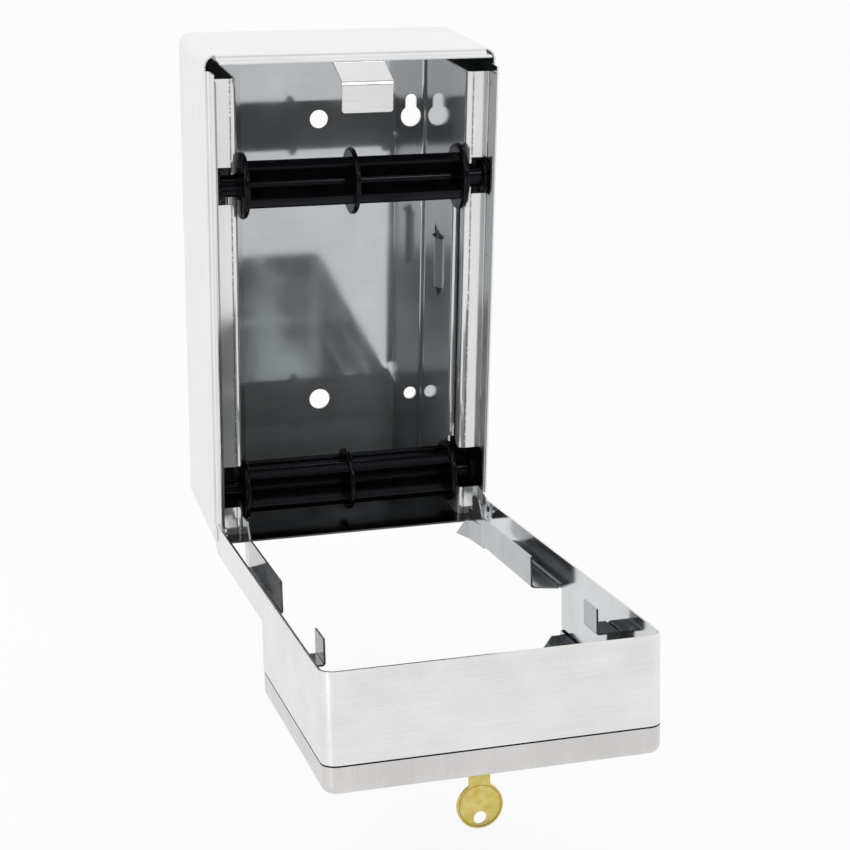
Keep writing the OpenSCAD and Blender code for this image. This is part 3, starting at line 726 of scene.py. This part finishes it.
key = disc(BOW_R, KEY_LOW, KEY_HIGH, BOW_Y, sides=128)
key.name = key.data.name = "flat_key"
neck = block((-NECK_HALF, BOW_Y, KEY_LOW), (NECK_HALF, SHOULDER_Y, KEY_HIGH))
carve(key, neck, "UNION")
blade = block((-BLADE_HALF, SHOULDER_Y - 1, KEY_LOW), (BLADE_HALF, BLADE_TIP, KEY_HIGH))
carve(key, blade, "UNION")
carve(key, disc(HOLE_R, LOCK_Z - THROUGH, LOCK_Z + THROUGH, BOW_Y - HOLE_OFF, sides=64))
for side in (-1, 1):
    face = LOCK_Z + side * KEY_HALF
    carve(key, disc(BOW_R - RIM, face - RIM_STEP, face + RIM_STEP, BOW_Y, sides=128))
    middle = side * GROOVE_X
    carve(key, block((middle - GROOVE_HALF, GROOVE_END, face - GROOVE_DEEP),
                     (middle + GROOVE_HALF, BLADE_TIP + 1, face + GROOVE_DEEP)))
print("blank:", len(key.data.polygons), "faces")

# %% Key cuts
CUTS, CUT_PITCH, FIRST_CUT_Y = 5, 3.4, -138.1
CUT_SIZE, HALF_DIAGONAL = 1.9, 0.7071             # side of a cutter, and its reach per side
SHALLOW, DEEPER = 0.5, 0.5                        # a cut's depth, and what every second one adds
TIP_SIZE, TIP_OFF, EDGE = 3.4, 0.4, 0.16


def turned_block(x, y, size):
    """A square block turned by 45 degrees about its own middle, as a file cuts."""
    tool = block((x - size / 2, y - size / 2, LOCK_Z - THROUGH),
                 (x + size / 2, y + size / 2, LOCK_Z + THROUGH))
    bpy.ops.object.mode_set(mode="EDIT")
    bpy.ops.mesh.select_all(action="SELECT")
    bpy.ops.transform.rotate(value=math.radians(45), orient_axis="Z",
                             center_override=Vector((x, y, LOCK_Z)) * MM)
    deselect()
    return tool


for cut in range(CUTS):
    depth = SHALLOW + DEEPER * (cut % 2)
    cutter_x = BLADE_HALF + CUT_SIZE * HALF_DIAGONAL - depth
    carve(key, turned_block(cutter_x, FIRST_CUT_Y + CUT_PITCH * cut, CUT_SIZE))
for side in (-1, 1):
    carve(key, turned_block(side * (BLADE_HALF + TIP_OFF), BLADE_TIP + TIP_OFF, TIP_SIZE))
ease_edges(key, EDGE)
swing_open(key, "key_body", "brass", "key")

# %% [markdown]
# ## The lock's body
#
# A cam lock has a round head with an eased rim and a threaded barrel that its nut runs on. Such a
# shape is turned, so one outline is drawn and spun about the lock's axis. The outline runs up the
# bore, over the head and back along the threads, one ridge after another.

# %% Outline of the lock body
BORE_R, BARREL_R, HEAD_R = 5.55, 8.0, 10.0
BARREL_END, HEAD_BACK = -116.8, -141.0
THREAD_FROM, THREADS, THREAD_PITCH, THREAD_ROOT = -135.9, 18, 1.0, 7.55
RIDGE = ((THREAD_ROOT, 0.35), (THREAD_ROOT, 0.5), (BARREL_R, 0.85), (BARREL_R, THREAD_PITCH))

outline = [
    (BORE_R, BARREL_END), (BORE_R, -142.6), (5.9, LOCK_FACE_Y), (8.6, LOCK_FACE_Y),
    (9.2, -142.92), (9.7, -142.6), (HEAD_R, -142.1), (HEAD_R, HEAD_BACK),
    (BARREL_R, HEAD_BACK), (BARREL_R, THREAD_FROM),
]
for thread in range(THREADS):
    start = THREAD_FROM + thread * THREAD_PITCH
    outline += [(radius, start + step) for radius, step in RIDGE]
outline += [(7.5, BARREL_END)]
print("outline points:", len(outline))

# %% Spin the lock body
LOCK_MIDDLE = (0, 0, LOCK_Z * MM)

deselect()
bpy.ops.mesh.primitive_plane_add(size=MM, location=LOCK_MIDDLE)
barrel = settle("threaded_barrel")
bpy.ops.object.mode_set(mode="EDIT")
bpy.ops.mesh.select_all(action="SELECT")
bpy.ops.mesh.merge(type="CENTER")
bpy.ops.transform.translate(value=(outline[0][0] * MM, outline[0][1] * MM, 0))
for before, after in zip(outline, outline[1:] + outline[:1]):
    step = ((after[0] - before[0]) * MM, (after[1] - before[1]) * MM, 0)
    bpy.ops.mesh.extrude_region_move(TRANSFORM_OT_translate={"value": step})
bpy.ops.mesh.select_all(action="SELECT")
bpy.ops.mesh.spin(steps=72, angle=math.tau, center=LOCK_MIDDLE, axis=(0, 1, 0))
bpy.ops.mesh.select_all(action="SELECT")
bpy.ops.mesh.remove_doubles(threshold=0.01 * MM)
bpy.ops.mesh.normals_make_consistent(inside=False)
choose(barrel)
bpy.ops.object.shade_smooth_by_angle(angle=SMOOTH_BELOW)
swing_open(barrel, "cover", "plated", "lock_barrel")

# %% [markdown]
# ## The floor
#
# A pale floor carries a soft shadow. The camera and the steel's reflections see it almost white,
# through the Light Path node, while its own colour takes the shadow. Its underside lets all light
# through, so that the dispenser can be looked at from below. A curved backdrop would do as well,
# but it would shade the steel from one side.

# %% Floor
FLOOR_Z, FLOOR_SIZE = -260 * MM, 8.0
deselect()
bpy.ops.mesh.primitive_plane_add(size=FLOOR_SIZE, location=(0, 0, FLOOR_Z))
floor = settle("floor")
print("floor at", FLOOR_Z)


# %% Floor finish
def mix_shaders(owner, factor, first, second):
    """One shader where the factor is 0, the other where it is 1."""
    node = add(owner, "ShaderNodeMixShader")
    join(owner, factor, node.inputs["Fac"])
    join(owner, first.outputs[0], node.inputs[1])
    join(owner, second.outputs[0], node.inputs[2])
    return node


GLOW_SHARE = 0.85  # how much of the floor's white is its own glow, in the rays that see it

pale, pale_shader = new_finish("pale_floor")
pale_shader.inputs["Base Color"].default_value = (0.92, 0.92, 0.92, 1)
pale_shader.inputs["Roughness"].default_value = 0.9
glow = add(pale, "ShaderNodeEmission")
clear = add(pale, "ShaderNodeBsdfTransparent")
rays = add(pale, "ShaderNodeLightPath").outputs
sees = larger(pale, rays["Is Camera Ray"], rays["Is Glossy Ray"])
sees = larger(pale, sees, rays["Is Transmission Ray"])
top = mix_shaders(pale, times(pale, sees, GLOW_SHARE), pale_shader, glow)
below = add(pale, "ShaderNodeNewGeometry").outputs["Backfacing"]
both = mix_shaders(pale, below, top, clear)
join(pale, both.outputs[0], pale.node_tree.nodes["Material Output"].inputs["Surface"])
floor.data.materials.append(pale)
print("floor finish nodes:", len(pale.node_tree.nodes))

# %% [markdown]
# ## The room
#
# Steel shows what surrounds it. The room is a plain white tent. As in a photographer's studio, a
# big black flag stands far behind the camera and reaches high above it: what it darkens is the
# box's lower inside and the bends of the sheet. Its edges fade, so that no hard line shows in the
# satin faces. Painting the dark tones on the steel would be simpler, but they would stay put when
# the cover swings.

# %% World and flag
FLAG_DISTANCE, FLAG_WIDTH, FLAG_TOP = 9.0, 40.0, 16.0
FADE_UP = (0.2, 1.5)     # heights between which the flag sets in
FADE_OUT = (9.0, 18.0)   # distances from its middle between which it thins out

world = bpy.data.worlds.new("tent")
bpy.context.scene.world = world
world.use_nodes = True
world.node_tree.nodes["Background"].inputs["Color"].default_value = (1, 1, 1, 1)

deselect()
bpy.ops.mesh.primitive_plane_add(size=1, location=(0, -FLAG_DISTANCE, FLAG_TOP / 2),
                                 rotation=(math.radians(90), 0, 0))
bpy.context.object.scale = (FLAG_WIDTH, FLAG_TOP, 1)
flag = settle("black_flag")
flag.visible_camera = False

cloth = new_finish("flag_cloth")[0]
dim = add(cloth, "ShaderNodeEmission", Color=(0.105, 0.105, 0.11, 1))
clear = add(cloth, "ShaderNodeBsdfTransparent")
up_fade = ramp(cloth, upwards(cloth), *FADE_UP, soft=True)
out_fade = ramp(cloth, x_side(cloth), *FADE_OUT, 1.0, 0.0, soft=True)
hung = mix_shaders(cloth, times(cloth, up_fade, out_fade), clear, dim)
join(cloth, hung.outputs[0], cloth.node_tree.nodes["Material Output"].inputs["Surface"])
flag.data.materials.append(cloth)
print("flag at", -FLAG_DISTANCE, "and", [round(side, 1) for side in flag.dimensions], "large")

# %% [markdown]
# ## Three lamps
#
# A soft lamp from the upper left shapes the box and throws the shadow. A low one at the left
# lights the cabinet's side and the cover's arm, and a small one above the camera's right puts
# the thin highlights on the black plastic. All three are weak, because the white room does most of
# the work. The Standard view shows colours as they were written.

# %% Lamps
def soft_lamp(name, stands, faces, size, power):
    """A square area lamp that faces a point."""
    data = bpy.data.lights.new(name, "AREA")
    data.size = size
    data.energy = power
    lamp = bpy.data.objects.new(name, data)
    bpy.context.scene.collection.objects.link(lamp)
    lamp.location = stands
    lamp.rotation_euler = (Vector(faces) - Vector(stands)).to_track_quat("-Z", "Y").to_euler()
    return lamp


lamps = [
    soft_lamp("key_lamp", stands=(-0.9, -0.8, 1.1), faces=(0, -0.1, 0), size=0.7, power=4.4),
    soft_lamp("corner_lamp", stands=(-1.1, -1.15, -0.12), faces=(0, -0.2, -0.1), size=0.3,
              power=1.2),
    soft_lamp("glint_lamp", stands=(0.36, -1.15, 0.80), faces=(0, -0.1, 0), size=0.22,
              power=2.2),
]
bpy.context.scene.view_settings.view_transform = "Standard"
print("lamps:", [lamp.name for lamp in lamps])
